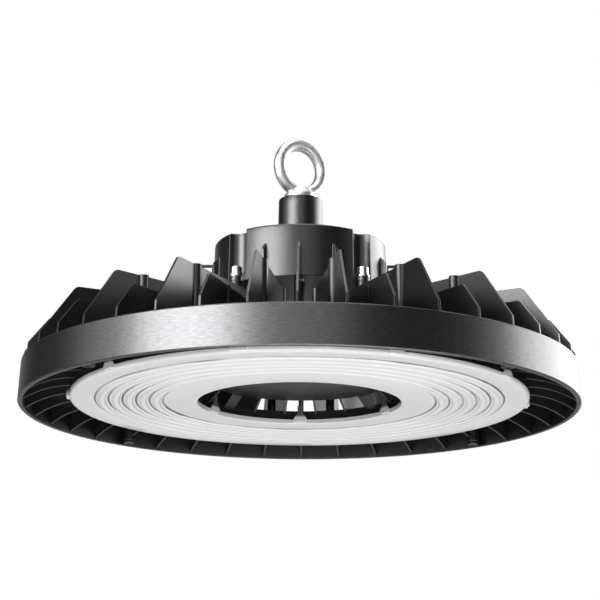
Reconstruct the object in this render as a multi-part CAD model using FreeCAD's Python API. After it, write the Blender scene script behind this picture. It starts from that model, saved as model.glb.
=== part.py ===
import FreeCAD, Part
import math
import os

# Round LED high bay light, hung by a lifting eye.  Units are mm, +Z is up.
# The origin is on the axis, at the lower edge of the band that the light rests on.
# Directions: 0 deg is the front (-Y), and an angle grows towards -X.

# The heat sink is one casting.  It is kept as seven nodes that touch, so that each stays simple:
# band, base, hub, ribs, columns, tall fins and short fins.

# --- band and fins of the heat sink casting ---
band_r = 175.0            # outer radius at the lower edge
band_draft = 1.2          # the band's upper edge is this much smaller in radius
band_h = 24.5
band_wall = 3.0
band_edge = 0.6           # chamfer on the band's outer edges
fin_pairs = 20            # one tall and one short fin to a pair
fin_t = 1.4
fin_set_in = 2.4          # fin's outer edge, inside the band's outer radius
fin_foot = 0.5            # fin's lower corner, above the band's lower edge
kink_above = 6.2          # upright part of the fin above the band
kink_in = 0.6
tall_top = 61.3
tall_peak_in = 25.0       # peaks, inside the band's outer radius
tall_clear = 2.85         # tall fins' inner edge to the columns
short_top = 46.7
short_peak_in = 15.6
short_inner_r = 97.0
peak_round = 4.0
tip_round = 1.0
arc_set_out = 2.0         # the fins' hollow lower edge levels out this far outside the LED base
arc_rise = 2.1            # how far that edge arches above its chord
# air windows low in the fins, beside the posts
window_w_tall = 20.0
window_w_short = 16.0
window_h = 20.0
window_round = 3.0
# round ejector posts on the fins
post_tall_r = 129.0
post_tall_d = 6.5
post_short_r = 130.0
post_short_d = 3.6
post_inner_set = 2.3      # inner posts, outside the tall fins' inner edge
post_inner_d = 4.2
post_above = 0.4

# --- LED base and hub of the casting ---
base_r = 142.0
base_hole_r = 66.0
base_z = 8.0              # underside, where the lens gaskets press
base_t = 5.0
board_recess = 1.5
hub_over = 2.0            # hub's edge, outside the columns' centres
hub_z = 18.3
hub_t = 3.0
rib_low = 1.7             # ribs to the hub start this far above the base's underside
gusset_w = 8.5            # wide ribs under the four columns

# --- columns that carry the driver housing ---
column_n = 4
column_first = 45.0
column_pcd_r = 55.2
column_d = 8.7
housing_z = 72.5          # lower face of the driver housing

# --- lens, its gaskets and clips ---
lens_over = 1.5           # lens edge, outside the LED base
lens_inset = 2.2          # lens hole, inside the LED base's hole
lens_z = 4.0              # underside of both flanges
flange_in_w = 16.0
flange_out_w = 12.0
lens_roof = 1.0           # the lens roof is this much below the gasket faces
lens_edge = 0.5
lens_round = 2.2          # rounding of the lens's outer lower edge
ridge_from_in = 5.5       # first groove, outside the board recess's inner wall
ridge_from_out = 3.9      # last groove, inside the recess's outer wall
ridge_n = 5
ridge_crest = 1.0         # below the flanges
groove_depth = 1.0        # above the flanges
gasket_t = 1.0
gasket_side = 1.0         # gasket edges, back from the flange edges
clip_n = 6                # snap clips round the lens hole
outer_clip_n = 10         # snap clips round the lens edge
outer_clip_first = 13.5   # they stand between the fins
clip_t = 1.6
clip_root_w = 9.0
clip_w = 3.6
clip_lift = 1.2           # foot of the clips, above the lens's underside
clip_flare_h = 4.0
clip_hook_h = 2.4
clip_hook_gap = 0.3       # under the hook, to the top of the base
clip_hook_reach = 1.4

# --- LED board ---
board_t = 1.6
board_gap = 0.5           # board edges to the recess walls
led_size = 3.0
led_h = 0.7
led_counts = (28, 32, 36, 40, 44)
terminal_l = 6.0
terminal_w = 3.2
terminal_h = 1.4
board_screw_n = 4
board_screw_head_d = 4.8
board_screw_head_h = 1.4
board_screw_l = 4.2

# --- screws, M3 and M4, thread left plain ---
m3_d = 3.0
m4_d = 4.0
thread_gap = 0.05         # on the radius, between a screw and its thread hole
free_gap = 0.2            # on the radius, between a screw and a clearance hole
pan_m3_d = 5.6
pan_m3_h = 2.0
pan_m4_d = 7.8
pan_m4_h = 2.4
rim_boss_in = 7.4         # boss centres, inside the band's outer radius
rim_boss_d = 8.4
rim_boss_lift = 2.8       # boss face above the band's lower edge
rim_boss_h = 18.0
rim_screw_l = 8.0
recess_ratio = 0.42       # plain round recess for the driver, of the head's diameter

# --- driver housing ---
cup_over = 0.2            # cup's lower edge, outside the columns' centres
cup_draft = 0.8
cup_h = 33.3
cup_wall = 3.4
cup_round = 1.3
flute_r = 7.6
flute_wall = 2.4
foot_t = 3.2
rib_step = 22.5
rib_t = 1.5
rib_out = 3.4
rib_h = 20.6
rib_slope = 3.4
neck_d = 28.9
neck_draft = 0.4
neck_h = 32.2
neck_edge = 0.8
side_lug_out = 12.5
side_lug_t = 3.0
side_lug_top = 21.9       # above the housing's lower face
side_bar = 1.3
side_leg = 1.6
side_window_h = 15.8
cap_head_d = 7.0
cap_head_h = 4.0
cap_hex = 3.0
cap_screw_l = 16.0
flat_washer_d = 9.0
flat_washer_t = 0.8
spring_washer_d = 7.4
spring_washer_t = 1.5
spring_washer_slit = 0.7

# --- driver cover, gasket and screws ---
cover_inset = 0.5         # cover's face above the housing's lower face
cover_t = 3.0
cover_gap = 0.3           # cover's edge to the housing
pan_in = 6.6              # edge of the shallow pan, inside the cover screws' circle
pan_depth = 1.4
ledge_w = 3.0
seal_t = 1.0
seal_gap = 0.3
cover_screw_n = 4
cover_screw_first = 0.0
cover_boss_d = 8.0
cover_boss_h = 12.0
cover_boss_bite = 0.6     # bosses reach this far into the ledge
cover_screw_l = 9.0

# --- electronics inside the driver housing ---
pcb_gap = 2.1             # board's edge to the cover bosses
pcb_t = 1.6
pcb_lift = 6.0
spacer_n = 4
spacer_in = 5.5           # spacers, inside the board's edge
spacer_d = 5.0
trafo = (-16.0, 2.0, 24.0, 22.0, 14.0)      # x, y, length, width, height
caps_xy = ((15.0, -15.0), (15.0, -1.0))
cap_d = 12.0
cap_h = 15.0
choke_xy = (13.0, 18.0)
choke_d = 18.0
choke_bore = 8.0
choke_h = 8.0
input_block = (-9.0, 27.0, 15.0, 8.0, 10.0)
spreader = (-9.0, -23.5, 30.0, 2.0, 13.0)

# --- lead tube between driver and hub ---
tube_d = 7.0
tube_bore = 5.0
tube_in = 10.6            # inside the cover screws' circle

# --- cable gland at the rear ---
gland_z = 15.6            # axis above the housing's lower face
gland_pad_d = 25.0
gland_pad_out = 3.0
gland_thread_d = 16.0
gland_hex = 22.0
gland_hex_t = 5.0
gland_bore = 9.0
gland_spigot_in = 1.0
gland_neck_d = 15.0
gland_neck_l = 9.0
gland_nut_d = 21.0
gland_nut_l = 13.0
gland_nut_wall = 1.8
gland_seal_d = 13.0

# --- lifting eye ---
eye_ring_r = 16.0         # to the middle of the round section
eye_wire_d = 8.2
eye_turn = 34.0           # ring plane, turned from the X direction
eye_collar_d = 21.1
eye_collar_t = 3.2
eye_waist_d = 13.0
eye_waist_h = 8.0
eye_centre_h = 21.5
eye_shank_l = 13.0
eye_thread_d = 8.0

UP = FreeCAD.Vector(0, 0, 1)
ORIGIN = FreeCAD.Vector(0, 0, 0)


def turned(shape, angle):
    """Copy of a shape built at the front, turned to an angle about the axis."""
    copy = shape.copy()
    copy.rotate(ORIGIN, UP, -angle)
    return copy


def spaced(count, first=0.0):
    return [first + 360.0 * i / count for i in range(count)]


def around(shape, angles):
    return [turned(shape, a) for a in angles]


def at_front(radius, z=0.0):
    return FreeCAD.Vector(0, -radius, z)


def rod(diameter, z0, z1, radius=0.0):
    """Upright round bar at a radius on the front line."""
    return Part.makeCylinder(diameter / 2, z1 - z0, at_front(radius, z0), UP)


def block(x, y, z, length, width, height):
    return Part.makeBox(length, width, height, FreeCAD.Vector(x - length / 2, y - width / 2, z))


def ring(r_in, r_out, z0, z1):
    outer = Part.makeCylinder(r_out, z1 - z0, FreeCAD.Vector(0, 0, z0), UP)
    return outer.cut(Part.makeCylinder(r_in, z1 - z0, FreeCAD.Vector(0, 0, z0), UP))


def outline(corners):
    """Closed wire in the radius and height plane of the front line.

    A corner is (radius, z) or (radius, z, rounding)."""
    pts = [FreeCAD.Vector(0, -c[0], c[1]) for c in corners]
    n = len(pts)
    runs = []
    for i, corner in enumerate(corners):
        r = corner[2] if len(corner) > 2 else 0.0
        if not r:
            runs.append((pts[i], None, pts[i]))
            continue
        back = (pts[i - 1] - pts[i]).normalize()
        ahead = (pts[(i + 1) % n] - pts[i]).normalize()
        half = back.getAngle(ahead) / 2
        cut = r / math.tan(half)
        middle = (back + ahead).normalize() * (r / math.sin(half) - r)
        runs.append((pts[i] + back * cut, pts[i] + middle, pts[i] + ahead * cut))
    edges = []
    for i, (start, middle, end) in enumerate(runs):
        if middle is not None:
            edges.append(Part.Arc(start, middle, end).toShape())
        edges.append(Part.makeLine(end, runs[(i + 1) % n][0]))
    return Part.Wire(edges)


def plate(faces, thickness):
    """Upright radial plate on the front line, its first face the form and the others windows."""
    face = faces[0]
    for window in faces[1:]:
        face = face.cut(window)
    solid = face.extrude(FreeCAD.Vector(thickness, 0, 0))
    solid.translate(FreeCAD.Vector(-thickness / 2, 0, 0))
    return solid


def revolved(corners):
    return Part.Face(outline(corners)).revolve(ORIGIN, UP, 360)


def fused(shapes):
    return shapes[0].multiFuse(shapes[1:]).removeSplitter()


def cut_all(body, tools):
    return body.cut(Part.makeCompound(tools))


def save(name, shape):
    shape.exportStep("parts/" + name + ".step")


# --- radii that follow from those above ---
tall_peak_r = band_r - tall_peak_in
short_peak_r = band_r - short_peak_in
rim_boss_r = band_r - rim_boss_in
tall_inner_r = column_pcd_r + column_d / 2 + tall_clear
post_inner_r = tall_inner_r + post_inner_set
hub_r = column_pcd_r + hub_over
arc_inner_r = base_r + arc_set_out
lens_r = base_r + lens_over
lens_hole_r = base_hole_r - lens_inset
cup_r = column_pcd_r + cup_over
cover_boss_r = cup_r - cup_wall - ledge_w - cover_boss_d / 2 + cover_boss_bite
pan_r = cover_boss_r - pan_in
pcb_r = cover_boss_r - cover_boss_d / 2 - pcb_gap
spacer_r = pcb_r - spacer_in
tube_pcd_r = cover_boss_r - tube_in

# --- levels and angles that several pieces share ---
base_top = base_z + base_t
hub_top = hub_z + hub_t
recess_z = base_z + board_recess
flange_top = base_z - gasket_t
roof_z = flange_top - lens_roof
board_z = recess_z - board_t
cup_top = housing_z + cup_h
foot_top = housing_z + foot_t
neck_top = cup_top + neck_h
recess_in = lens_hole_r + flange_in_w
recess_out = lens_r - flange_out_w
ridge_first = recess_in + ridge_from_in
ridge_pitch = (recess_out - ridge_from_out - ridge_first) / ridge_n
kink_z = band_h + kink_above
fin_outer_r = band_r - fin_set_in
fin_core = base_top - fin_t / 2
fin_level = base_z + base_t / 2
rib_foot_r = base_hole_r + fin_t / 2
column_angles = spaced(column_n, column_first)
clip_angles = spaced(clip_n)
outer_clip_angles = spaced(outer_clip_n, outer_clip_first)
tall_angles = spaced(fin_pairs, 180.0 / fin_pairs)
short_angles = spaced(fin_pairs)


def hollow_edge():
    """Piece to cut from a fin, for its hollow lower edge from the band to the LED base."""
    start = at_front(fin_outer_r, fin_foot)
    end = at_front(arc_inner_r, fin_level)
    chord = end - start
    side = FreeCAD.Vector(0, -chord.z, chord.y).normalize()
    middle = start + chord * 0.5 + side * arc_rise
    return Part.Face(Part.Wire([Part.Arc(start, middle, end).toShape(), Part.makeLine(end, start)]))


def fin(top, peak_r, inner, window):
    """One fin: inner lists the corners from the top's inner end to the LED base."""
    wire = outline([
        (fin_outer_r, fin_foot), (fin_outer_r, band_h),
        (fin_outer_r - kink_in, kink_z, tip_round), (peak_r, top, peak_round),
    ] + inner + [(base_r - fin_t, fin_core), (base_r - fin_t, fin_level), (arc_inner_r, fin_level)])
    near, far = window
    hole = outline([(near, fin_core), (far, fin_core), (far, fin_core + window_h, window_round),
                    (near, fin_core + window_h, window_round)])
    return plate([Part.Face(wire), hollow_edge(), Part.Face(hole)], fin_t)


def hub_rib(thickness):
    """Slanted rib that ties the hub to the LED base."""
    return plate([Part.Face(outline([
        (hub_r - hub_t, hub_z), (hub_r, hub_z), (rib_foot_r, base_z + rib_low),
        (rib_foot_r, base_top), (tall_inner_r, hub_top), (hub_r - hub_t, hub_top)]))], thickness)


def apart(shapes, *others):
    """The shapes, each cut back to where the others begin, without the crumbs that leaves."""
    tools = Part.makeCompound([s for group in others for s in group])
    return [max(s.cut(tools).Solids, key=lambda piece: piece.Volume) for s in shapes]


# --- heat sink: one casting ---
band_top_r = band_r - band_draft
band = revolved([
    (band_r - band_wall, 0), (band_r - band_edge, 0), (band_r, band_edge),
    (band_top_r, band_h - band_edge), (band_top_r - band_edge, band_h),
    (band_top_r - band_wall, band_h),
])
led_base = revolved([
    (base_hole_r, base_z), (recess_in, base_z), (recess_in, recess_z), (recess_out, recess_z),
    (recess_out, base_z), (base_r, base_z), (base_r, base_top), (base_hole_r, base_top),
])
hub = Part.makeCylinder(hub_r, hub_t, FreeCAD.Vector(0, 0, hub_z), UP)
tall_window_far = post_tall_r - post_tall_d / 2
short_window_far = post_short_r - post_short_d / 2
tall_plate = fin(
    tall_top, tall_peak_r,
    [(tall_inner_r, tall_top, tip_round), (tall_inner_r, hub_top), (rib_foot_r, base_top),
     (rib_foot_r, fin_core)],
    (tall_window_far - window_w_tall, tall_window_far))
short_plate = fin(
    short_top, short_peak_r,
    [(short_inner_r, short_top, tip_round), (short_inner_r, fin_core)],
    (short_window_far - window_w_short, short_window_far))
tall_fin = fused([tall_plate, rod(post_tall_d, fin_core, tall_top + post_above, post_tall_r),
                  rod(post_inner_d, hub_top, tall_top + post_above, post_inner_r)])
short_fin = fused([short_plate, rod(post_short_d, fin_core, short_top + post_above, post_short_r)])
rim_boss = rod(rim_boss_d, rim_boss_lift, rim_boss_lift + rim_boss_h, rim_boss_r)
spot_face = rod(rim_boss_d, 0, rim_boss_lift, rim_boss_r)
band = fused([band] + around(rim_boss, column_angles))
gusset_angles = [a for a in tall_angles if min(abs(a - c) for c in column_angles) < 1]
thin_angles = [a for a in tall_angles if a not in gusset_angles]
columns = apart(around(rod(column_d, hub_z, housing_z, column_pcd_r), column_angles), [hub])
ribs = apart(around(hub_rib(gusset_w), gusset_angles) + around(hub_rib(fin_t), thin_angles),
             [hub, led_base], columns)
tall_fins = apart(around(tall_fin, tall_angles), [band, led_base], ribs,
                  around(spot_face, column_angles))
short_fins = apart(around(short_fin, short_angles), [band, led_base])

cap_tip_z = foot_top + flat_washer_t + spring_washer_t - cap_screw_l
board_screw_radius = ridge_first + 2 * ridge_pitch
board_screw_angles = spaced(board_screw_n, 180.0 / led_counts[1])
board_screw_tip = board_z + board_screw_l
tip_room = 1.0
columns = apart(columns, around(rod(m4_d + 2 * thread_gap, cap_tip_z - tip_room, housing_z,
                                    column_pcd_r), column_angles))
band = cut_all(band, around(spot_face, column_angles)
               + around(rod(m4_d + 2 * thread_gap, rim_boss_lift,
                            rim_boss_lift + rim_screw_l + tip_room, rim_boss_r), column_angles))
led_base = cut_all(led_base, around(rod(m3_d + 2 * thread_gap, recess_z, board_screw_tip + thread_gap,
                                        board_screw_radius), board_screw_angles))

# --- LED board with its LEDs, terminal and screws ---
led_board = ring(recess_in + board_gap, recess_out - board_gap, board_z, recess_z)
led_board = cut_all(led_board, around(
    rod(m3_d + 2 * free_gap, board_z, recess_z, board_screw_radius), board_screw_angles))
led_list = []
for row, count in enumerate(led_counts):
    led_radius = ridge_first + (row + 0.5) * ridge_pitch
    led = block(0, -led_radius, board_z - led_h, led_size, led_size, led_h)
    led_list += around(led, spaced(count))
leds = Part.makeCompound(led_list)
terminal_radius = recess_in + board_gap + terminal_w / 2
board_terminal = block(0, -terminal_radius, board_z - terminal_h, terminal_l, terminal_w, terminal_h)


def pan_screw(shank_d, shank_l, head_d, head_h, seat_z, radius):
    """Pan head screw pointing up, its head below seat_z, with a drive recess."""
    head = rod(head_d, seat_z - head_h, seat_z, radius)
    crown = head.Edges[0] if head.Edges[0].BoundBox.ZMax < seat_z - head_h / 2 else head.Edges[2]
    head = head.makeFillet(head_h * 0.45, [crown])
    recess = rod(head_d * recess_ratio, seat_z - head_h, seat_z - head_h * 0.4, radius)
    return head.fuse(rod(shank_d, seat_z, seat_z + shank_l, radius)).removeSplitter().cut(recess)


board_screws = Part.makeCompound(around(
    pan_screw(m3_d, board_screw_l, board_screw_head_d, board_screw_head_h, board_z,
              board_screw_radius), board_screw_angles))

# --- lens: flanges, concentric ridges and snap clips in one moulding ---
groove_z = lens_z + groove_depth
crest_z = lens_z - ridge_crest
grooves = [ridge_first + i * ridge_pitch for i in range(ridge_n + 1)]
lens_pts = [
    (lens_hole_r, lens_z + lens_edge), (lens_hole_r, flange_top), (recess_in - lens_roof, flange_top),
    (recess_in, roof_z), (recess_out, roof_z), (recess_out + lens_roof, flange_top),
    (lens_r, flange_top), (lens_r, lens_z + lens_round),
]
lens_edges = [Part.makeLine(at_front(*a), at_front(*b)) for a, b in zip(lens_pts, lens_pts[1:])]
round_in = lens_round * (1 - math.sqrt(0.5))
lens_edges.append(Part.Arc(at_front(*lens_pts[-1]), at_front(lens_r - round_in, lens_z + round_in),
                           at_front(lens_r - lens_round, lens_z)).toShape())
lens_edges.append(Part.makeLine(at_front(lens_r - lens_round, lens_z), at_front(recess_out, lens_z)))
lens_edges.append(Part.makeLine(at_front(recess_out, lens_z), at_front(grooves[-1], groove_z)))
for outer, inner in zip(grooves[::-1], grooves[-2::-1]):
    lens_edges.append(Part.Arc(at_front(outer, groove_z), at_front((outer + inner) / 2, crest_z),
                               at_front(inner, groove_z)).toShape())
last_pts = [(grooves[0], groove_z), (recess_in, lens_z), (lens_hole_r + lens_edge, lens_z), lens_pts[0]]
lens_edges += [Part.makeLine(at_front(*a), at_front(*b)) for a, b in zip(last_pts, last_pts[1:])]
lens_ring = Part.Face(Part.Wire(lens_edges)).revolve(ORIGIN, UP, 360)

clip_foot = lens_z + clip_lift
clip_shoulder = flange_top + clip_flare_h
hook_low = base_top + clip_hook_gap
hook_top = hook_low + clip_hook_h
clip_sides = [(-clip_root_w / 2, clip_foot), (clip_root_w / 2, clip_foot),
              (clip_root_w / 2, flange_top), (clip_w / 2, clip_shoulder), (clip_w / 2, hook_top),
              (-clip_w / 2, hook_top), (-clip_w / 2, clip_shoulder), (-clip_root_w / 2, flange_top)]


def snap_clip(edge_r, way, base_edge_r):
    """Upright clip on a lens edge that hooks over the LED base; way is 1 at the outer edge, -1 inside."""
    face_r = edge_r + way * clip_t
    wire = Part.makePolygon([FreeCAD.Vector(x, -face_r, z) for x, z in clip_sides + clip_sides[:1]])
    blade = Part.Face(wire).extrude(FreeCAD.Vector(0, way * clip_t, 0))
    root = block(0, way * lens_edge - edge_r, clip_foot, clip_root_w, 2 * lens_edge + clip_t,
                 flange_top - clip_foot)
    hook_ends = (edge_r + way * clip_t / 2, base_edge_r - way * clip_hook_reach)
    hook = block(0, -sum(hook_ends) / 2, hook_low, clip_w, abs(hook_ends[0] - hook_ends[1]), clip_hook_h)
    return fused([blade, root, hook])


lens = fused([lens_ring] + around(snap_clip(lens_hole_r, -1, base_hole_r), clip_angles)
             + around(snap_clip(lens_r, 1, base_r), outer_clip_angles))
lens_gasket_outer = ring(recess_out + gasket_side + lens_roof, base_r - gasket_side, flange_top, base_z)
lens_gasket_inner = ring(base_hole_r + gasket_side, recess_in - gasket_side - lens_roof,
                         flange_top, base_z)
rim_screws = Part.makeCompound(around(
    pan_screw(m4_d, rim_screw_l, pan_m4_d, pan_m4_h, rim_boss_lift, rim_boss_r), column_angles))

# --- driver housing: cup, neck, feet, ribs and side lugs in one casting ---
cup_top_r = cup_r - cup_draft
cup = revolved([(0, housing_z), (cup_r, housing_z), (cup_top_r, cup_top, cup_round), (0, cup_top)])
neck = revolved([(0, cup_top - cup_wall), (neck_d / 2, cup_top - cup_wall), (neck_d / 2, cup_top),
                 (neck_d / 2 - neck_draft, neck_top, neck_edge), (0, neck_top)])


rib_wall = plate([Part.Face(outline([
    (cup_r - cup_wall / 2, housing_z), (cup_r + rib_out, housing_z),
    (cup_r + rib_out, housing_z + rib_h - rib_slope, tip_round),
    (cup_r - cup_draft, housing_z + rib_h + tip_round),
    (cup_r - cup_wall / 2, housing_z + rib_h + tip_round)]))], rib_t)
rib_angles = [a for a in spaced(round(360 / rib_step))
              if min(abs(a - c) for c in column_angles) > 1
              and a % 90 > 1 or a == 0]
side_leg_r = cup_r + side_lug_out
side_window_top = side_lug_top - side_bar
side_lug = plate([
    Part.Face(outline([
        (cup_r - cup_wall / 2, housing_z + side_window_top - side_window_h - side_leg),
        (side_leg_r, housing_z + side_window_top - side_window_h - side_leg),
        (side_leg_r, housing_z + side_lug_top, tip_round),
        (cup_r - cup_wall / 2, housing_z + side_lug_top)])),
    Part.Face(outline([
        (cup_r + tip_round, housing_z + side_window_top - side_window_h),
        (side_leg_r - side_leg, housing_z + side_window_top - side_window_h),
        (side_leg_r - side_leg, housing_z + side_window_top),
        (cup_r + tip_round, housing_z + side_window_top)]))], side_lug_t)
gland_axis = FreeCAD.Vector(0, 0, housing_z + gland_z)
REAR = FreeCAD.Vector(0, 1, 0)
pad_face_y = cup_r + gland_pad_out


def rear_rod(diameter, y0, y1):
    """Round bar along the gland axis."""
    return Part.makeCylinder(diameter / 2, y1 - y0, gland_axis + REAR * y0, REAR)


gland_pad = rear_rod(gland_pad_d, cup_r - cup_wall, pad_face_y)
foot = rod(column_d, housing_z, foot_top, column_pcd_r)
outer_form = fused([cup, neck, gland_pad]
                   + around(rib_wall, rib_angles) + around(side_lug, (90.0, 270.0)))
flute = rod(2 * flute_r, foot_top, cup_top + cup_round, column_pcd_r)
outer_form = cut_all(outer_form, around(flute, column_angles)).fuse(
    around(foot, column_angles)).removeSplitter()


def cavity(back, z0, z1):
    """Room inside the cup, set back from the wall and from the flute walls."""
    room = Part.makeCylinder(cup_r - cup_wall - back, z1 - z0, FreeCAD.Vector(0, 0, z0), UP)
    keep = rod(2 * (flute_r + flute_wall + back), z0, z1, column_pcd_r)
    return cut_all(room, around(keep, column_angles))


cover_z = housing_z + cover_inset
cover_top = cover_z + cover_t
ledge_z = cover_top + seal_t
cup_roof = cup_top - cup_wall
cover_screw_angles = spaced(cover_screw_n, cover_screw_first)
cover_boss = rod(cover_boss_d, ledge_z, ledge_z + cover_boss_h, cover_boss_r)
upper_room = cavity(ledge_w, ledge_z, cup_roof)
upper_room = cut_all(upper_room, around(cover_boss, cover_screw_angles))
driver_housing = cut_all(outer_form, [cavity(0, housing_z, ledge_z), upper_room])
housing_holes = around(rod(m4_d + 2 * free_gap, housing_z, foot_top, column_pcd_r), column_angles)
housing_holes += around(rod(m3_d + 2 * thread_gap, ledge_z,
                            cover_z + cover_screw_l + tip_room, cover_boss_r), cover_screw_angles)
housing_holes.append(rear_rod(gland_thread_d + 2 * thread_gap, cup_r - 2 * cup_wall, pad_face_y))
eye_bore_l = eye_shank_l + tip_room
housing_holes.append(rod(eye_thread_d + 2 * thread_gap, neck_top - eye_bore_l, neck_top))
driver_housing = cut_all(driver_housing, housing_holes)

# --- cap screws with spring and flat washers ---
washer_top = foot_top + flat_washer_t
spring_top = washer_top + spring_washer_t
flat_washer = rod(flat_washer_d, foot_top, washer_top, column_pcd_r).cut(
    rod(m4_d + 2 * free_gap, foot_top, washer_top, column_pcd_r))
flat_washers = Part.makeCompound(around(flat_washer, column_angles))
spring_washer = rod(spring_washer_d, washer_top, spring_top, column_pcd_r).cut(
    rod(m4_d + 2 * free_gap, washer_top, spring_top, column_pcd_r)).cut(
    block(0, -column_pcd_r - spring_washer_d / 2, washer_top, spring_washer_slit, spring_washer_d,
          spring_washer_t))
spring_washers = Part.makeCompound(around(spring_washer, column_angles))
cap_head = rod(cap_head_d, spring_top, spring_top + cap_head_h, column_pcd_r)
cap_head = cap_head.makeFillet(cap_head_h * 0.1, [max(cap_head.Edges, key=lambda e: e.CenterOfMass.z)])
hex_socket = Part.Face(Part.makePolygon([
    at_front(column_pcd_r, spring_top + cap_head_h) + FreeCAD.Vector(
        cap_hex / math.sqrt(3) * math.cos(math.radians(60 * i)),
        cap_hex / math.sqrt(3) * math.sin(math.radians(60 * i)), 0) for i in range(7)]))
cap_screw = cap_head.fuse(rod(m4_d, cap_tip_z, spring_top, column_pcd_r)).removeSplitter().cut(
    hex_socket.extrude(FreeCAD.Vector(0, 0, -cap_head_h / 2)))
cap_screws = Part.makeCompound(around(cap_screw, column_angles))

# --- driver cover, its gasket and screws ---
seal_ring = cavity(seal_gap, cover_top, ledge_z).cut(cavity(ledge_w - seal_gap, cover_top, ledge_z))
screw_room = around(rod(cover_boss_d, cover_top, ledge_z, cover_boss_r), cover_screw_angles)
housing_gasket = cut_all(seal_ring, screw_room)
driver_cover = cavity(cover_gap, cover_z, cover_top)
driver_cover = driver_cover.cut(rod(2 * pan_r, cover_z, cover_z + pan_depth))
driver_cover = cut_all(driver_cover, around(
    rod(m3_d + 2 * free_gap, cover_z, cover_top, cover_boss_r), cover_screw_angles)
    + [rod(tube_bore, cover_z, cover_top, tube_pcd_r)])
cover_screws = Part.makeCompound(around(
    pan_screw(m3_d, cover_screw_l, pan_m3_d, pan_m3_h, cover_z, cover_boss_r), cover_screw_angles))
lead_tube = rod(tube_d, hub_top, cover_z + pan_depth, tube_pcd_r).cut(
    rod(tube_bore, hub_top, cover_z + pan_depth, tube_pcd_r))

# --- electronics ---
pcb_z = cover_top + pcb_lift
pcb_top = pcb_z + pcb_t
spacer_angles = spaced(spacer_n, column_first)
driver_board = Part.makeCylinder(pcb_r, pcb_t, FreeCAD.Vector(0, 0, pcb_z), UP)
board_spacers = Part.makeCompound(around(rod(spacer_d, cover_top, pcb_z, spacer_r), spacer_angles))


def on_board(part):
    x, y, length, width, height = part
    return block(x, y, pcb_top, length, width, height)


transformer = on_board(trafo)
capacitors = Part.makeCompound([
    Part.makeCylinder(cap_d / 2, cap_h, FreeCAD.Vector(x, y, pcb_top), UP) for x, y in caps_xy])
choke_foot = FreeCAD.Vector(choke_xy[0], choke_xy[1], pcb_top)
choke = Part.makeCylinder(choke_d / 2, choke_h, choke_foot, UP).cut(
    Part.makeCylinder(choke_bore / 2, choke_h, choke_foot, UP))
input_terminal = on_board(input_block)
heat_spreader = on_board(spreader)

# --- cable gland ---
hex_face = Part.Face(Part.makePolygon([
    gland_axis + FreeCAD.Vector(gland_hex / math.sqrt(3) * math.cos(math.radians(60 * i)), pad_face_y,
                                gland_hex / math.sqrt(3) * math.sin(math.radians(60 * i)))
    for i in range(7)]))
hex_end = pad_face_y + gland_hex_t
neck_end = hex_end + gland_neck_l
cable_gland = fused([
    hex_face.extrude(REAR * gland_hex_t),
    rear_rod(gland_thread_d, cup_r - cup_wall - gland_spigot_in, pad_face_y),
    rear_rod(gland_neck_d, hex_end, neck_end)])
cable_gland = cable_gland.cut(rear_rod(gland_bore, cup_r - 2 * cup_wall, neck_end))
nut_end = hex_end + gland_nut_l
gland_nut = rear_rod(gland_nut_d, hex_end, nut_end)
nut_crown = max(gland_nut.Edges, key=lambda e: e.CenterOfMass.y)
gland_nut = gland_nut.makeFillet(gland_nut_wall, [nut_crown])
gland_nut = gland_nut.cut(rear_rod(gland_neck_d + 2 * thread_gap, hex_end, nut_end - gland_nut_wall)).cut(
    rear_rod(gland_bore, hex_end, nut_end))
gland_seal = rear_rod(gland_seal_d, neck_end, nut_end - gland_nut_wall).cut(
    rear_rod(gland_bore, neck_end, nut_end))

# --- lifting eye ---
eye_centre = neck_top + eye_centre_h
ring_axis = FreeCAD.Vector(-math.sin(math.radians(eye_turn)), math.cos(math.radians(eye_turn)), 0)
eye_ring = Part.makeTorus(eye_ring_r, eye_wire_d / 2, FreeCAD.Vector(0, 0, eye_centre), ring_axis)
collar = revolved([
    (0, neck_top), (eye_collar_d / 2, neck_top, tip_round / 2),
    (eye_collar_d / 2, neck_top + eye_collar_t, tip_round / 2),
    (eye_waist_d / 2, neck_top + eye_waist_h), (0, neck_top + eye_waist_h)])
eye_bolt = fused([eye_ring, collar, rod(eye_thread_d, neck_top - eye_shank_l, neck_top)])

os.makedirs("parts", exist_ok=True)
save("heat_sink_band", band)
save("heat_sink_base", led_base)
save("heat_sink_hub", hub)
save("heat_sink_ribs", Part.makeCompound(ribs))
save("heat_sink_columns", Part.makeCompound(columns))
save("tall_fins", Part.makeCompound(tall_fins))
save("short_fins", Part.makeCompound(short_fins))
save("led_board", led_board)
save("leds", leds)
save("board_terminal", board_terminal)
save("board_screws", board_screws)
save("lens", lens)
save("lens_gasket_outer", lens_gasket_outer)
save("lens_gasket_inner", lens_gasket_inner)
save("rim_screws", rim_screws)
save("driver_housing", driver_housing)
save("cap_screws", cap_screws)
save("spring_washers", spring_washers)
save("flat_washers", flat_washers)
save("driver_cover", driver_cover)
save("housing_gasket", housing_gasket)
save("cover_screws", cover_screws)
save("lead_tube", lead_tube)
save("driver_board", driver_board)
save("board_spacers", board_spacers)
save("transformer", transformer)
save("capacitors", capacitors)
save("choke", choke)
save("input_terminal", input_terminal)
save("heat_spreader", heat_spreader)
save("cable_gland", cable_gland)
save("gland_nut", gland_nut)
save("gland_seal", gland_seal)
save("eye_bolt", eye_bolt)
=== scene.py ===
import math

import bmesh
import bpy
from bpy.props import FloatProperty, PointerProperty
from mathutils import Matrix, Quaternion, Vector


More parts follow.
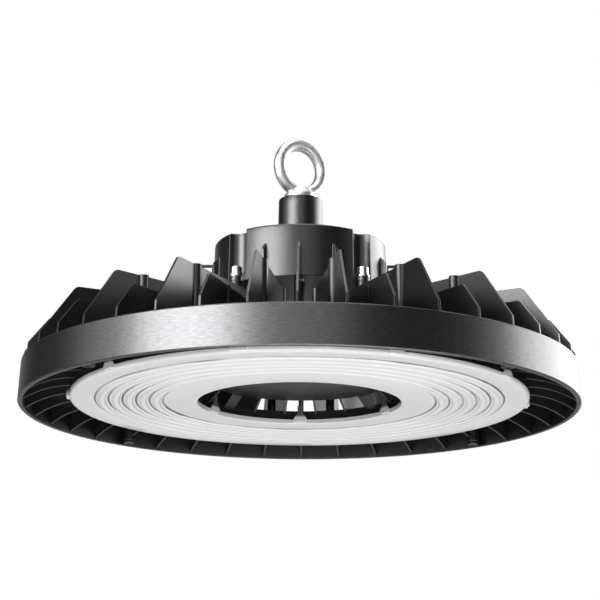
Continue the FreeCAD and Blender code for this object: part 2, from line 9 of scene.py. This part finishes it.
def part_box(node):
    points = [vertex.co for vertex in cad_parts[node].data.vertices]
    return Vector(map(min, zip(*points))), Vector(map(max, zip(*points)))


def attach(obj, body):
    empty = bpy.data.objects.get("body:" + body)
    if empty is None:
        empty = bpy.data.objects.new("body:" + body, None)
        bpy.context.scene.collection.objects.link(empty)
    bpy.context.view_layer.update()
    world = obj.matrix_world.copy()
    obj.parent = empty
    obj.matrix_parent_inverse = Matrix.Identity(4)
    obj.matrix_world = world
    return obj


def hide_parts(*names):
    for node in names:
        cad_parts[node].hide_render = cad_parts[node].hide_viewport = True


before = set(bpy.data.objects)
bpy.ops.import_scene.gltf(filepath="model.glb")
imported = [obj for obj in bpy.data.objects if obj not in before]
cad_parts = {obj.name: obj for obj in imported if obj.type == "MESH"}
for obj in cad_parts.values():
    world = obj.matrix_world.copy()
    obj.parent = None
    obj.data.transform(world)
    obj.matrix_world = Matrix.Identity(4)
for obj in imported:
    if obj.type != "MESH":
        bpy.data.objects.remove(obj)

bl_info = {
    "name": "High bay light",
    "version": (1, 0, 0),
    "blender": (4, 5, 0),
    "location": "View3D > Sidebar > High bay light",
    "description": "Finishes and studio for a round LED high bay light",
    "category": "Object",
}

MM = 0.001
STREAK_LENGTH = 5 * MM     # of the turning streaks on the band
CLIP_FADE = 1.5 * MM       # height over which the lens's clips turn clear, fading into a painted shade of the dark casting seen through them

# the lens's ridges: radius of the first and last groove, and their number
FIRST_GROOVE, LAST_GROOVE, RIDGES = 85.3 * MM, 127.6 * MM, 5
FADE_START, FADE_END = 0.1, 0.25   # where the lines fade past the end grooves, in ridges
SWAY = 0.05                        # how far the lines waver, in ridges
# painted shade and painted highlights across each of the ridges, from groove to groove: dark lines at the
# grooves with white glints beside them, lighter crests and darker flanks
RIDGE_SHADE_AND_GLINTS = (
    (0.0, "343434"), (0.05, "6E6E6E"), (0.1, "FAFAFA"), (0.2, "E2E2E2"), (0.25, "9C9C9C"),
    (0.3, "EDEDED"), (0.5, "F6F6F6"), (0.7, "D6D6D6"), (0.89, "F6F6F6"), (0.95, "7A7A7A"),
    (1.0, "343434"),
)

# soft boxes: name, degrees from the front towards the left, height, distance, size and watts
LAMPS = (
    ("key", 43, 0.52, 1.7, (1.25, 1.0), 40),
    ("front", -2, 0.62, 1.9, (1.1, 0.8), 3.2),
    ("side", 82, 0.5, 2.0, (0.8, 1.2), 3.5),
    ("right", -121, 0.55, 1.9, (1.9, 1.3), 36),
    ("rear", -170, 1.5, 1.7, (1.4, 1.2), 7),
    ("top", 10, 2.2, 0.5, (1.6, 1.6), 30),
    ("under", -10, -1.4, 0.9, (2.4, 1.6), 31),
)
AIM = (0, 0, 0.08)         # the point that the lamps face

FLOOR_SIZE = 60.0
FLOOR_SEEN, FLOOR_MIRRORED = 0.83, 0.2   # the floor's own light to the eye, and in gloss
ROOM_LIGHT = 0.16                        # of the room on matt surfaces
# gloss sees a white wall in this direction, and a dim room away from it
WALL_WAY = (0.6, 0.8, 0.0)
WALL_FROM, WALL_FULL, DIM_WALL = 0.25, 0.9, 0.05


# --- settings ---

class FinishSettings(bpy.types.PropertyGroup):
    """Sizes and levels of the finishes"""
    edge_round: FloatProperty(
        name="Edge rounding", description="How softly cast edges catch the light",
        default=0.6 * MM, unit="LENGTH")
    coat_roughness: FloatProperty(
        name="Coat roughness", description="Roughness of the heat sink's powder coat", default=0.33)
    housing_roughness: FloatProperty(
        name="Housing roughness", description="Roughness of the housing's coat", default=0.28)
    band_roughness: FloatProperty(
        name="Band roughness", description="Roughness of the turned band", default=0.34)
    texture_size: FloatProperty(
        name="Texture size", description="Grain of the housing's textured coat",
        default=1.0 * MM, unit="LENGTH")
    turning_pitch: FloatProperty(
        name="Turning pitch", description="Spacing of the fine turned lines on the band",
        default=0.5 * MM, unit="LENGTH")
    lens_roughness: FloatProperty(
        name="Lens roughness", description="Roughness of the lens's outer face", default=0.22)
    steel_roughness: FloatProperty(
        name="Steel roughness", description="Roughness of screws and washers", default=0.24)


class StageSettings(bpy.types.PropertyGroup):
    """Camera, light and floor"""
    distance: FloatProperty(
        name="Camera distance", description="Camera to the point it looks at",
        default=1.1783, unit="LENGTH")
    target_height: FloatProperty(
        name="Target height", description="Height of the point the camera looks at",
        default=71.64 * MM, unit="LENGTH")
    look_up: FloatProperty(
        name="Look up", description="How far the camera looks up", default=math.radians(15.0),
        unit="ROTATION")
    aside: FloatProperty(
        name="Aside", description="Turn of the camera about the light's axis",
        default=math.radians(-0.503), unit="ROTATION")
    roll: FloatProperty(
        name="Roll", description="Camera roll", default=math.radians(0.311), unit="ROTATION")
    lens: FloatProperty(
        name="Focal length", description="Focal length in mm on a 36 mm sensor", default=111.1)
    floor_depth: FloatProperty(
        name="Floor depth", description="Floor below the hanging light", default=2.2, unit="LENGTH")


def finish():
    return bpy.context.scene.bay_finish


# --- materials ---

def srgb(code):
    """Linear colour of an sRGB hex code such as C0C0C0."""
    values = [int(code[i:i + 2], 16) / 255 for i in (0, 2, 4)]
    return [v / 12.92 if v <= 0.04045 else ((v + 0.055) / 1.055) ** 2.4 for v in values] + [1.0]


def feed(tree, socket, value):
    """Gives an input a value, or links another socket to it."""
    if isinstance(value, bpy.types.NodeSocket):
        tree.links.new(value, socket)
    else:
        socket.default_value = value


def add(tree, kind, x, y, settings=None, **inputs):
    """One node at a place, with its settings and inputs: an input is a value or another socket."""
    node = tree.nodes.new(kind)
    node.location = (x, y)
    for name, value in (settings or {}).items():
        setattr(node, name, value)
    for name, value in inputs.items():
        feed(tree, node.inputs[name.replace("_", " ")], value)
    return node


def reckon(tree, operation, x, y, *values):
    """Result of a Math node, with its inputs in order."""
    node = add(tree, "ShaderNodeMath", x, y, {"operation": operation})
    for socket, value in zip(node.inputs, values):
        feed(tree, socket, value)
    return node.outputs["Value"]


def ranged(tree, x, y, value, low, high, start=0.0, end=1.0, clamp=True):
    """A value taken from the range low to high onto start to end."""
    node = add(tree, "ShaderNodeMapRange", x, y, {"clamp": clamp}, Value=value, From_Min=low,
               From_Max=high, To_Min=start, To_Max=end)
    return node.outputs["Result"]


def noise(tree, x, y, place, size, detail, roughness=0.5):
    """Noise whose patches are about the given size."""
    node = add(tree, "ShaderNodeTexNoise", x, y, Vector=place, Scale=1 / size, Detail=detail,
               Roughness=roughness)
    return node.outputs["Fac"]


def ramp(tree, x, y, factor, *stops):
    """Colour from a ramp through stops of (level, sRGB hex), in rising order."""
    node = add(tree, "ShaderNodeValToRGB", x, y, Fac=factor)
    marks = node.color_ramp.elements
    marks[0].position, marks[-1].position = stops[0][0], stops[-1][0]
    marks[0].color, marks[-1].color = srgb(stops[0][1]), srgb(stops[-1][1])
    for level, colour in stops[1:-1]:
        marks.new(level).color = srgb(colour)
    return node.outputs["Color"]


def blend(tree, x, y, factor, first, second):
    """Colour between two, by a factor."""
    node = add(tree, "ShaderNodeMix", x, y, {"data_type": "RGBA"})
    for index, value in ((0, factor), (6, first), (7, second)):
        feed(tree, node.inputs[index], value)
    return node.outputs[2]


def rounded(tree, x, y, radius):
    """Normal that rounds sharp edges by a radius."""
    return add(tree, "ShaderNodeBevel", x, y, {"samples": 4}, Radius=radius).outputs["Normal"]


def bumped(tree, x, y, height, normal, strength, distance):
    """Normal with a relief on it."""
    node = add(tree, "ShaderNodeBump", x, y, Strength=strength, Distance=distance, Height=height,
               Normal=normal)
    return node.outputs["Normal"]


def material(name):
    """New material with a Principled shader, as (material, tree, shader)."""
    made = bpy.data.materials.new(name)
    made.use_nodes = True
    tree = made.node_tree
    return made, tree, tree.nodes["Principled BSDF"]


def object_place(tree, x):
    """Coordinates on the object, in metres."""
    return add(tree, "ShaderNodeTexCoord", x, 0).outputs["Object"]


def plain(name, colour, roughness, metallic=0.0):
    """Even finish with soft edges."""
    made, tree, shader = material(name)
    shader.inputs["Base Color"].default_value = srgb(colour)
    shader.inputs["Roughness"].default_value = roughness
    shader.inputs["Metallic"].default_value = metallic
    feed(tree, shader.inputs["Normal"], rounded(tree, -300, -200, finish().edge_round / 2))
    return made


def powder_coat():
    """Satin black powder coat on a die casting: near black, with a faint orange peel."""
    made, tree, shader = material("black_powder_coated_die_cast_aluminium")
    place = object_place(tree, -1100)
    peel = noise(tree, -900, 0, place, 1.2 * MM, 2.0)
    cloud = noise(tree, -900, 300, place, 40 * MM, 3.0)
    tone = ramp(tree, -600, 300, cloud, (0.0, "0F0F10"), (1.0, "181819"))
    soft = rounded(tree, -900, -300, finish().edge_round)
    feed(tree, shader.inputs["Base Color"], tone)
    feed(tree, shader.inputs["Normal"], bumped(tree, -600, -100, peel, soft, 0.25, 0.05 * MM))
    shader.inputs["Roughness"].default_value = finish().coat_roughness
    shader.inputs["Specular IOR Level"].default_value = 0.65
    return made


def turned_metal():
    """Black anodised band, turned on a lathe: a dark metal whose fine streaks run round it."""
    made, tree, shader = material("black_anodised_turned_aluminium")
    split = add(tree, "ShaderNodeSeparateXYZ", -1500, 0, Vector=object_place(tree, -1700)).outputs
    angle = reckon(tree, "ARCTAN2", -1300, 100, split["Y"], split["X"])
    band_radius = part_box("heat_sink_band")[1][0]
    along = reckon(tree, "MULTIPLY", -1100, 100, angle, band_radius / STREAK_LENGTH)
    up = reckon(tree, "DIVIDE", -1100, -100, split["Z"], finish().turning_pitch)
    wrap = add(tree, "ShaderNodeCombineXYZ", -900, 0, X=along, Y=up).outputs["Vector"]
    streaks = noise(tree, -700, 0, wrap, 1.0, 3.0, 0.7)
    tone = ramp(tree, -400, 300, streaks, (0.3, "505051"), (0.7, "6A6A6B"))
    soft = rounded(tree, -900, -300, finish().edge_round)
    feed(tree, shader.inputs["Base Color"], tone)
    feed(tree, shader.inputs["Normal"], bumped(tree, -400, -100, streaks, soft, 0.3, 0.03 * MM))
    shader.inputs["Metallic"].default_value = 1.0
    shader.inputs["Roughness"].default_value = finish().band_roughness
    return made


def textured_coat():
    """Fine textured black coat on the driver housing: it breaks highlights into grains."""
    made, tree, shader = material("textured_black_powder_coat")
    grain = noise(tree, -900, 0, object_place(tree, -1100), finish().texture_size, 4.0, 0.65)
    soft = rounded(tree, -900, -300, finish().edge_round * 1.5)
    feed(tree, shader.inputs["Normal"], bumped(tree, -600, -100, grain, soft, 0.7, 0.2 * MM))
    shader.inputs["Base Color"].default_value = srgb("101011")
    shader.inputs["Roughness"].default_value = finish().housing_roughness
    shader.inputs["Specular IOR Level"].default_value = 0.9
    return made


def lens_plastic():
    """Diffusing polycarbonate: milky and glossy, with dark and light lines of painted shade and painted
    highlights where its ridges bend light.
    """
    made, tree, shader = material("diffusing_polycarbonate")
    shader.location = (300, 0)
    place = object_place(tree, -1900)
    split = add(tree, "ShaderNodeSeparateXYZ", -1700, 0, Vector=place).outputs
    flat = add(tree, "ShaderNodeCombineXYZ", -1500, 0, X=split["X"], Y=split["Y"])
    radius = add(tree, "ShaderNodeVectorMath", -1300, 0, {"operation": "LENGTH"})
    feed(tree, radius.inputs[0], flat.outputs["Vector"])
    count = ranged(tree, -1100, 0, radius.outputs["Value"], FIRST_GROOVE, LAST_GROOVE, end=RIDGES,
                   clamp=False)
    # a slow waver keeps the painted lines from looking drawn
    waver = noise(tree, -1300, 300, place, 16 * MM, 2.0)
    sway = ranged(tree, -1100, 300, waver, 0.0, 1.0, -SWAY, SWAY)
    across = reckon(tree, "FRACT", -700, 100, reckon(tree, "ADD", -900, 100, count, sway))
    # painted shade and painted highlights: the greys of the dark lines and white glints across each of the
    # ridges
    painted_ridge_shading = ramp(tree, -500, 100, across, *RIDGE_SHADE_AND_GLINTS)
    # the painted lines lie between the first and the last groove, stronger in some patches than in others
    inner = ranged(tree, -900, -200, count, -FADE_END, -FADE_START)
    outer = ranged(tree, -900, -400, count, RIDGES + FADE_START, RIDGES + FADE_END, 1.0, 0.0)
    ridged = reckon(tree, "MULTIPLY", -700, -300, inner, outer)
    patch = ranged(tree, -700, -600, noise(tree, -900, -600, place, 45 * MM, 1.0), 0.35, 0.6, 0.45)
    strength = reckon(tree, "MULTIPLY", -500, -300, ridged, patch)
    tone = blend(tree, -200, 0, strength, srgb("E8E8E8"), painted_ridge_shading)
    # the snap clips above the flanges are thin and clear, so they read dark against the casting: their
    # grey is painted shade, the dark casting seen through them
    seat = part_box("heat_sink_base")[0][2]
    clear = ranged(tree, -200, -300, split["Z"], seat, seat + CLIP_FADE)
    feed(tree, shader.inputs["Base Color"], blend(tree, 0, 0, clear, tone, srgb("5C5C5C")))
    soft = rounded(tree, -700, -900, 0.3 * MM)
    ripple = noise(tree, -900, -900, place, 14 * MM, 1.0)
    feed(tree, shader.inputs["Normal"], bumped(tree, -500, -900, ripple, soft, 0.2, 0.4 * MM))
    shader.inputs["Roughness"].default_value = finish().lens_roughness
    shader.inputs["Transmission Weight"].default_value = 0.1
    shader.inputs["IOR"].default_value = 1.58
    return made


def steel(name, colour, roughness):
    """Bright metal with faint handling marks."""
    made, tree, shader = material(name)
    marks = noise(tree, -900, 0, object_place(tree, -1100), 3 * MM, 4.0)
    level = ranged(tree, -600, 0, marks, 0.0, 1.0, roughness * 0.7, roughness * 1.3)
    feed(tree, shader.inputs["Roughness"], level)
    feed(tree, shader.inputs["Normal"], rounded(tree, -600, -300, finish().edge_round / 2))
    shader.inputs["Base Color"].default_value = srgb(colour)
    shader.inputs["Metallic"].default_value = 1.0
    return made


# --- pieces ---

def dress(made, slot, *nodes):
    """Gives CAD nodes a material in place of their own; the slot is not used."""
    for name in nodes:
        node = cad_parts[name]
        for place in node.material_slots:
            place.material = made


def seamless(made, name):
    """Stands in for a CAD node with its seams closed, so that shading runs round it without a step."""
    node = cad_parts[name]
    mesh = node.data.copy()
    shape = bmesh.new()
    shape.from_mesh(mesh)
    bmesh.ops.remove_doubles(shape, verts=shape.verts, dist=0.005 * MM)
    shape.to_mesh(mesh)
    shape.free()
    if "custom_normal" in mesh.attributes:
        mesh.attributes.remove(mesh.attributes["custom_normal"])
    mesh.shade_smooth()
    mesh.set_sharp_from_angle(angle=math.radians(35))
    mesh.materials.clear()
    mesh.materials.append(made)
    piece = bpy.data.objects.new(name + "_finished", mesh)
    piece.matrix_world = node.matrix_world.copy()
    bpy.context.scene.collection.objects.link(piece)
    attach(piece, "root")
    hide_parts(name)
    return piece


# --- operators ---

class BAY_OT_heat_sink(bpy.types.Operator):
    """Finish the heat sink casting"""
    bl_idname = "bay.heat_sink"
    bl_label = "Heat sink"

    def execute(self, context):
        dress(powder_coat(), "heat_sink", "heat_sink_base", "heat_sink_hub", "heat_sink_ribs",
              "heat_sink_columns", "tall_fins", "short_fins")
        seamless(turned_metal(), "heat_sink_band")
        return {"FINISHED"}


class BAY_OT_lens(bpy.types.Operator):
    """Finish the lens, its seals and what lies under it"""
    bl_idname = "bay.lens"
    bl_label = "Lens and LED board"

    def execute(self, context):
        seamless(lens_plastic(), "lens")
        # matt rubber stays dark in any light, and the board under the lens is an even half gloss
        dress(plain("black_silicone_rubber", "141414", 0.8), "gaskets", "lens_gasket_outer",
              "lens_gasket_inner", "housing_gasket", "gland_seal")
        dress(plain("white_solder_resist", "E6E6E2", 0.4), "led_board", "led_board")
        dress(plain("yellow_led_phosphor", "E8D98A", 0.3), "leds", "leds")
        dress(plain("white_nylon", "E2E2DE", 0.5), "board_terminal", "board_terminal")
        return {"FINISHED"}


class BAY_OT_housing(bpy.types.Operator):
    """Finish the driver housing, its cover and the gland"""
    bl_idname = "bay.housing"
    bl_label = "Driver housing"

    def execute(self, context):
        coat = textured_coat()
        seamless(coat, "driver_housing")
        dress(coat, "driver_cover", "driver_cover")
        # moulded polyamide is a little paler and duller than the coat beside it
        black = plain("black_polyamide", "161616", 0.45)
        dress(black, "gland", "cable_gland", "gland_nut")
        dress(black, "lead_tube", "lead_tube")
        return {"FINISHED"}


class BAY_OT_fixings(bpy.types.Operator):
    """Finish the lifting eye, screws and washers"""
    bl_idname = "bay.fixings"
    bl_label = "Eye and screws"

    def execute(self, context):
        # zinc plate spreads the light in a soft sheen, and stainless screws show sharp glints
        dress(steel("bright_zinc_plated_steel", "EDEDEF", 0.4), "eye_bolt", "eye_bolt")
        bright = steel("bright_stainless_steel", "DCDCDC", finish().steel_roughness)
        dress(bright, "cap_screws", "cap_screws", "spring_washers", "flat_washers")
        dress(bright, "small_screws", "board_screws", "cover_screws")
        dress(steel("black_zinc_plated_steel", "4A4A4B", 0.4), "small_screws", "rim_screws")
        return {"FINISHED"}


class BAY_OT_driver(bpy.types.Operator):
    """Finish the driver's circuit board and its parts"""
    bl_idname = "bay.driver"
    bl_label = "Driver board"

    def execute(self, context):
        # the board and its wound and sleeved parts shine a little, and moulded nylon is duller
        dress(plain("green_solder_resist", "1E5A34", 0.35), "driver_board", "driver_board")
        dress(plain("natural_polyamide", "E0DED2", 0.5), "board_spacers", "board_spacers")
        dress(plain("yellow_polyester_tape", "C9A63A", 0.35), "transformer", "transformer")
        dress(plain("dark_sleeve", "20202A", 0.3), "capacitors", "capacitors")
        dress(plain("enamelled_copper_wire", "9A4E22", 0.3), "choke", "choke")
        dress(plain("green_terminal_plastic", "2E6B3E", 0.45), "input_terminal", "input_terminal")
        dress(plain("mill_aluminium", "C4C4C4", 0.4, 1.0), "heat_spreader", "heat_spreader")
        return {"FINISHED"}


def place_camera(scene, stage):
    """Camera that looks up at the hanging light from the front."""
    data = bpy.data.cameras.new("camera")
    data.sensor_width = 36.0
    data.lens = stage.lens
    camera = bpy.data.objects.new("camera", data)
    scene.collection.objects.link(camera)
    ahead = Vector((math.sin(stage.aside) * math.cos(stage.look_up),
                    math.cos(stage.aside) * math.cos(stage.look_up), math.sin(stage.look_up)))
    camera.location = Vector((0, 0, stage.target_height)) - ahead * stage.distance
    camera.rotation_mode = "QUATERNION"
    camera.rotation_quaternion = ahead.to_track_quat("-Z", "Y") @ Quaternion((0, 0, 1), stage.roll)
    scene.camera = camera


def seen_directly(tree, ray, x, y):
    """1 for rays from the camera or through clear plastic, and 0 for the rest."""
    return reckon(tree, "MAXIMUM", x, y, ray["Is Camera Ray"], ray["Is Transmission Ray"])


def white_paper():
    """Matt white paper for the floor: white to the eye, and dimmer in gloss."""
    made, tree, shader = material("pale_floor")
    shader.inputs["Base Color"].default_value = srgb("F2F2F2")
    shader.inputs["Roughness"].default_value = 0.9
    ray = add(tree, "ShaderNodeLightPath", -900, -300).outputs
    mirrored = reckon(tree, "MULTIPLY", -500, -400, ray["Is Glossy Ray"], FLOOR_MIRRORED)
    glow = reckon(tree, "MULTIPLY_ADD", -300, -300, seen_directly(tree, ray, -700, -300),
                  FLOOR_SEEN, mirrored)
    feed(tree, shader.inputs["Emission Strength"], glow)
    return made


def area_light(name, direction, height, distance, size, power):
    """Soft box at a compass direction, in degrees from the front towards the left."""
    data = bpy.data.lights.new(name, "AREA")
    data.shape = "RECTANGLE"
    data.size, data.size_y = size
    data.energy = power
    lamp = bpy.data.objects.new(name, data)
    angle = math.radians(direction)
    lamp.location = (-distance * math.sin(angle), -distance * math.cos(angle), height)
    lamp.rotation_euler = (Vector(AIM) - lamp.location).to_track_quat("-Z", "Y").to_euler()
    lamp.visible_camera = False
    bpy.context.scene.collection.objects.link(lamp)
    return lamp


def white_room():
    """World that is white to the eye, dim on matt surfaces, and one bright wall in gloss."""
    world = bpy.data.worlds.new("white_room")
    world.use_nodes = True
    tree = world.node_tree
    tree.nodes.clear()
    ray = add(tree, "ShaderNodeLightPath", -800, 300).outputs
    toward = add(tree, "ShaderNodeVectorMath", -800, 0, {"operation": "DOT_PRODUCT"})
    feed(tree, toward.inputs[0], add(tree, "ShaderNodeTexCoord", -1000, 0).outputs["Generated"])
    feed(tree, toward.inputs[1], WALL_WAY)
    wall = ranged(tree, -600, 0, toward.outputs["Value"], WALL_FROM, WALL_FULL, DIM_WALL)
    gloss = add(tree, "ShaderNodeMix", -400, 0, {"data_type": "FLOAT"})
    for index, value in ((0, ray["Is Glossy Ray"]), (2, ROOM_LIGHT), (3, wall)):
        feed(tree, gloss.inputs[index], value)
    level = reckon(tree, "MAXIMUM", -200, 200, seen_directly(tree, ray, -400, 300),
                   gloss.outputs[0])
    back = add(tree, "ShaderNodeBackground", 0, 0, Color=(1, 1, 1, 1), Strength=level)
    add(tree, "ShaderNodeOutputWorld", 200, 0, Surface=back.outputs["Background"])
    return world


class BAY_OT_stage(bpy.types.Operator):
    """Camera, soft light, floor and white surroundings"""
    bl_idname = "bay.stage"
    bl_label = "Stage"

    def execute(self, context):
        scene, stage = context.scene, context.scene.bay_stage
        scene.view_settings.view_transform = "Standard"
        place_camera(scene, stage)

        bpy.ops.mesh.primitive_plane_add(size=FLOOR_SIZE, location=(0, 0, -stage.floor_depth))
        floor = context.active_object
        floor.name = "floor"
        floor.data.materials.append(white_paper())

        [area_light(*lamp) for lamp in LAMPS]
        scene.world = white_room()
        return {"FINISHED"}


class BAY_PT_panel(bpy.types.Panel):
    """Buttons and settings"""
    bl_idname = "BAY_PT_panel"
    bl_label = "High bay light"
    bl_space_type = "VIEW_3D"
    bl_region_type = "UI"
    bl_category = "High bay light"

    def draw(self, context):
        for operator in OPERATORS:
            self.layout.operator(operator.bl_idname)
        for settings in (context.scene.bay_finish, context.scene.bay_stage):
            box = self.layout.box()
            for name in settings.__annotations__:
                box.prop(settings, name)


OPERATORS = [BAY_OT_heat_sink, BAY_OT_lens, BAY_OT_housing, BAY_OT_fixings, BAY_OT_driver,
             BAY_OT_stage]
CLASSES = [FinishSettings, StageSettings, *OPERATORS, BAY_PT_panel]


def register():
    for made in CLASSES:
        bpy.utils.register_class(made)
    bpy.types.Scene.bay_finish = PointerProperty(type=FinishSettings)
    bpy.types.Scene.bay_stage = PointerProperty(type=StageSettings)


def unregister():
    del bpy.types.Scene.bay_stage
    del bpy.types.Scene.bay_finish
    for made in reversed(CLASSES):
        bpy.utils.unregister_class(made)


def main():
    register()
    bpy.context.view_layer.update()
    bpy.ops.bay.heat_sink()
    bpy.ops.bay.lens()
    bpy.ops.bay.housing()
    bpy.ops.bay.fixings()
    bpy.ops.bay.driver()
    bpy.ops.bay.stage()


if __name__ == "__main__":
    main()
